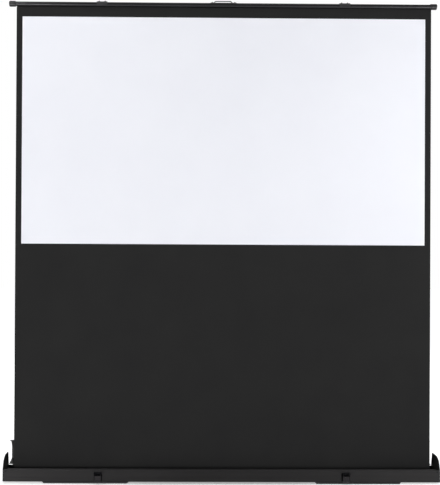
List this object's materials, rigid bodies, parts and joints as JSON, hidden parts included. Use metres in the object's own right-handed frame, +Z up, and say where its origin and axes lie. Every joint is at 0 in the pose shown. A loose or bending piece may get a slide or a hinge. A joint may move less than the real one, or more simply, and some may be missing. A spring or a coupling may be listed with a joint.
{
  "type": "pull-up projection screen",
  "caption": "Floor-standing projection screen that pulls up from a long case on a scissor, with a round top bar, hinged case cover, draw latches and swivel feet.",
  "frame": {"origin": "centre of the resting outline's footprint, on the floor", "axes": "+X along the case to the viewer's right, +Y to the back, +Z up; the white area faces -Y"},
  "size_m": [1.891, 0.2106, 2.1153],
  "materials": {
    "case_grey": "dark grey satin anodised",
    "bar_black": "black satin anodised",
    "black_plastic": "matt black moulded",
    "black_steel": "black powder coat",
    "grey_steel": "dark grey paint",
    "zinc_steel": "zinc plated",
    "plain_alu": "mill finish",
    "nylon": "natural nylon",
    "rubber": "matt",
    "fabric_black": "matt black coated cloth",
    "fabric_white": "matt white coating"
  },
  "bodies": {
    "case": {"case_trough": "case_grey", "end_cap_left": "black_plastic", "end_cap_right": "black_plastic", "end_cap_screws": "zinc_steel", "bottom_rail": "plain_alu", "case_rivets": "zinc_steel", "roller_bracket_left": "black_plastic", "roller_bracket_right": "black_plastic", "spring_shaft": "zinc_steel", "torsion_spring": "zinc_steel", "latch_plates": "grey_steel", "latch_pins": "zinc_steel", "foot_bolts": "zinc_steel", "foot_washers": "nylon", "screen_fabric": "fabric_black", "viewing_surface": "fabric_white", "bottom_pivot_pin": "zinc_steel", "bottom_pivot_spacers": "nylon"},
    "lid": {"lid_shell": "case_grey", "latch_keepers": "zinc_steel", "carry_handle_brackets": "black_plastic"},
    "carry_handle": {"carry_handle": "black_plastic"},
    "foot_left": {"foot_left": "black_steel", "foot_pads_left": "rubber"},
    "foot_right": {"foot_right": "black_steel", "foot_pads_right": "rubber"},
    "latch_lever_left": {"latch_lever_left": "grey_steel"},
    "latch_lever_right": {"latch_lever_right": "grey_steel"},
    "latch_loop_left": {"latch_loop_left": "black_steel"},
    "latch_loop_right": {"latch_loop_right": "black_steel"},
    "roller": {"roller_tube": "plain_alu", "roller_plug_left": "black_plastic", "roller_plug_right": "black_plastic", "spring_anchor": "black_plastic", "fabric_roll": "fabric_black"},
    "lower_arm_front": {"lower_arm_front": "bar_black", "lower_cross_pin": "zinc_steel", "right_elbow_pin": "zinc_steel", "lower_arm_washers": "nylon"},
    "lower_arm_rear": {"lower_arm_rear": "bar_black", "left_elbow_pin": "zinc_steel", "left_elbow_washer": "nylon", "bottom_slide_axle": "zinc_steel", "bottom_slide_rollers": "nylon"},
    "upper_arm_rear": {"upper_arm_rear": "bar_black", "upper_cross_pin": "zinc_steel", "upper_cross_washer": "nylon"},
    "upper_arm_front": {"upper_arm_front": "bar_black", "top_slide_axle": "zinc_steel", "top_slide_rollers": "nylon"},
    "top_bar": {"top_tube": "bar_black", "bar_knobs": "black_plastic", "keder_rod": "nylon", "top_rail": "bar_black", "saddle_clamps": "black_steel", "bar_screws": "zinc_steel", "handle_bracket": "black_steel", "top_pivot_pin": "zinc_steel", "top_pivot_spacers": "nylon"},
    "pull_handle": {"pull_handle": "black_steel"}
  },
  "joints": [
    {"name": "lift", "type": "hinge", "parent": "case", "child": "lower_arm_front", "pos_m": [-0.36142, 0.00027, 0.0202], "axis": [0, 1, 0], "range_deg": [0, 53.62], "deforming": ["screen_fabric", "viewing_surface"]},
    {"name": "lower_cross", "type": "hinge", "parent": "lower_arm_front", "child": "lower_arm_rear", "pos_m": [0, 0.00027, 0.5301], "axis": [0, 1, 0], "range_deg": [-107.34, 0.1]},
    {"name": "right_elbow", "type": "hinge", "parent": "lower_arm_front", "child": "upper_arm_rear", "pos_m": [0.36142, 0.00027, 1.04], "axis": [0, 1, 0], "range_deg": [-107.34, 0.1]},
    {"name": "upper_cross", "type": "hinge", "parent": "upper_arm_rear", "child": "upper_arm_front", "pos_m": [0, 0.00027, 1.5499], "axis": [0, 1, 0], "range_deg": [-0.1, 107.34]},
    {"name": "top_pivot", "type": "hinge", "parent": "upper_arm_rear", "child": "top_bar", "pos_m": [-0.36142, 0.00027, 2.0598], "axis": [0, 1, 0], "range_deg": [-0.1, 53.72]},
    {"name": "roller_spin", "type": "hinge", "parent": "case", "child": "roller", "pos_m": [0, -0.04468, 0.035], "axis": [1, 0, 0], "range_deg": [-1, 6121]},
    {"name": "pull_handle_swing", "type": "hinge", "parent": "top_bar", "child": "pull_handle", "pos_m": [0, -0.01473, 2.0868], "axis": [-1, 0, 0], "range_deg": [-30, 50]},
    {"name": "lid_hinge", "type": "hinge", "parent": "case", "child": "lid", "pos_m": [0, 0.02977, 0.051], "axis": [1, 0, 0], "range_deg": [0, 15]},
    {"name": "carry_handle_swing", "type": "hinge", "parent": "lid", "child": "carry_handle", "pos_m": [0, 0.09827, 0.0985], "axis": [1, 0, 0], "range_deg": [0, 170]},
    {"name": "foot_left_swivel", "type": "hinge", "parent": "case", "child": "foot_left", "pos_m": [-0.59, -0.02973, 0.008], "axis": [0, 0, 1], "range_deg": [0, 90]},
    {"name": "foot_right_swivel", "type": "hinge", "parent": "case", "child": "foot_right", "pos_m": [0.59, -0.02973, 0.008], "axis": [0, 0, -1], "range_deg": [0, 90]},
    {"name": "latch_left_lever", "type": "hinge", "parent": "case", "child": "latch_lever_left", "pos_m": [-0.535, -0.08323, 0.04], "axis": [-1, 0, 0], "range_deg": [0, 150]},
    {"name": "latch_left_loop", "type": "hinge", "parent": "latch_lever_left", "child": "latch_loop_left", "pos_m": [-0.535, -0.08293, 0.031], "axis": [1, 0, 0], "range_deg": [-0.5, 150.5]},
    {"name": "latch_right_lever", "type": "hinge", "parent": "case", "child": "latch_lever_right", "pos_m": [0.535, -0.08323, 0.04], "axis": [-1, 0, 0], "range_deg": [0, 150]},
    {"name": "latch_right_loop", "type": "hinge", "parent": "latch_lever_right", "child": "latch_loop_right", "pos_m": [0.535, -0.08293, 0.031], "axis": [1, 0, 0], "range_deg": [-0.5, 150.5]}
  ],
  "couplings": [
    {"joint": "lower_cross", "follows": "lift", "ratio": -2},
    {"joint": "right_elbow", "follows": "lift", "ratio": -2},
    {"joint": "upper_cross", "follows": "lift", "ratio": 2},
    {"joint": "top_pivot", "follows": "lift", "ratio": 1},
    {"joint": "roller_spin", "follows": "lift", "ratio": 114.14},
    {"joint": "latch_left_loop", "follows": "latch_left_lever", "ratio": 1},
    {"joint": "latch_right_loop", "follows": "latch_right_lever", "ratio": 1}
  ]
}
